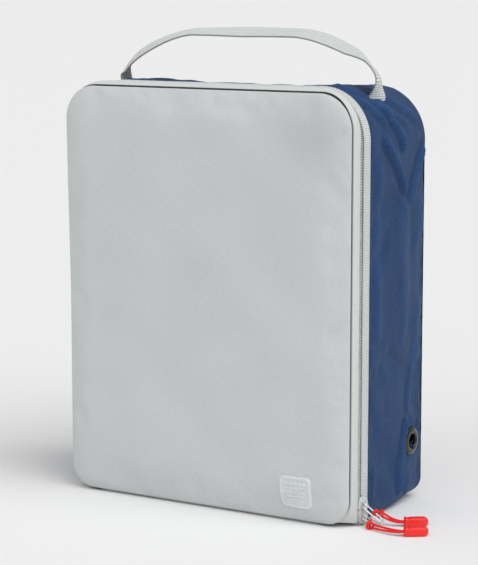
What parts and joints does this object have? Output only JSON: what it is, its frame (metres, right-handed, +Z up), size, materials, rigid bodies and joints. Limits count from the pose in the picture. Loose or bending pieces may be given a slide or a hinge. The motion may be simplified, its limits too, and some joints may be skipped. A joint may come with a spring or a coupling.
{
  "type": "golf shoe bag",
  "caption": "Upright rectangular zipped shoe bag with a padded front flap hinged at its base, a webbing top handle, side vent eyelets and cord zip pulls.",
  "frame": {"origin": "on the floor under the middle of the base", "axes": "+X to the right as seen from the front, +Y to the back, +Z up"},
  "size_m": [0.3456, 0.1423, 0.4004],
  "materials": {
    "grey_fabric": "matt brushed polyester",
    "blue_fabric": "matt woven polyester",
    "lining_fabric": "plain woven lining",
    "foam": "closed-cell foam sheet",
    "board": "stiffening board",
    "binding": "folded binding tape",
    "zip_tape": "woven zip tape",
    "zip_coil": "nylon coil",
    "webbing": "ribbed polyester webbing",
    "patch": "reinforcing webbing",
    "eyelet_metal": "dark gunmetal plating",
    "slider_metal": "light grey enamel",
    "red_cord": "braided cord",
    "red_tip": "soft moulded rubber"
  },
  "bodies": {
    "bag": {"side_gusset": "blue_fabric", "base_panel": "blue_fabric", "gusset_lining": "lining_fabric", "base_board": "board", "base_lining": "lining_fabric", "hinge_strip": "grey_fabric", "back_panel": "blue_fabric", "back_foam": "foam", "back_lining": "lining_fabric", "rear_binding": "binding", "rear_zip_tape": "zip_tape", "rear_zip_coil": "zip_coil", "left_eyelet": "eyelet_metal", "left_eyelet_washer": "eyelet_metal", "left_handle_end": "webbing", "left_handle_patch": "patch", "left_zip_tab": "zip_tape", "right_eyelet": "eyelet_metal", "right_eyelet_washer": "eyelet_metal", "right_handle_end": "webbing", "right_handle_patch": "patch", "right_zip_tab": "zip_tape"},
    "flap": {"front_panel": "grey_fabric", "front_foam": "foam", "front_lining": "lining_fabric", "front_strip": "grey_fabric", "front_binding": "binding", "front_zip_tape": "zip_tape", "front_zip_coil": "zip_coil", "badge": "grey_fabric"},
    "handle": {"handle_webbing": "webbing"},
    "upper_slider": {"upper_slider": "slider_metal"},
    "lower_slider": {"lower_slider": "slider_metal"},
    "upper_pull": {"upper_bail": "slider_metal", "upper_pull_cord": "red_cord", "upper_pull_tip": "red_tip"},
    "lower_pull": {"lower_bail": "slider_metal", "lower_pull_cord": "red_cord", "lower_pull_tip": "red_tip"}
  },
  "joints": [
    {"name": "flap_hinge", "type": "hinge", "parent": "bag", "child": "flap", "pos_m": [0, -0.065, 0.003], "axis": [1, 0, 0], "range_deg": [0, 78]},
    {"name": "handle_swing", "type": "hinge", "parent": "bag", "child": "handle", "pos_m": [0, 0.003, 0.362], "axis": [1, 0, 0], "range_deg": [-60, 60], "stiffness_Nm_per_rad": 0.03},
    {"name": "lower_slider_slide", "type": "slide", "parent": "bag", "child": "lower_slider", "axis": [0, 0, 1], "range_m": [0, 0.035]},
    {"name": "upper_slider_slide", "type": "slide", "parent": "lower_slider", "child": "upper_slider", "axis": [0, 0, 1], "range_m": [0, 0.25]},
    {"name": "upper_pull_swing", "type": "hinge", "parent": "upper_slider", "child": "upper_pull", "pos_m": [0.1442, -0.0476, 0.0168], "axis": [0, -1, 0], "range_deg": [0, 90]},
    {"name": "lower_pull_swing", "type": "hinge", "parent": "lower_slider", "child": "lower_pull", "pos_m": [0.1442, -0.0476, 0.007], "axis": [0, -1, 0], "range_deg": [0, 5]}
  ]
}
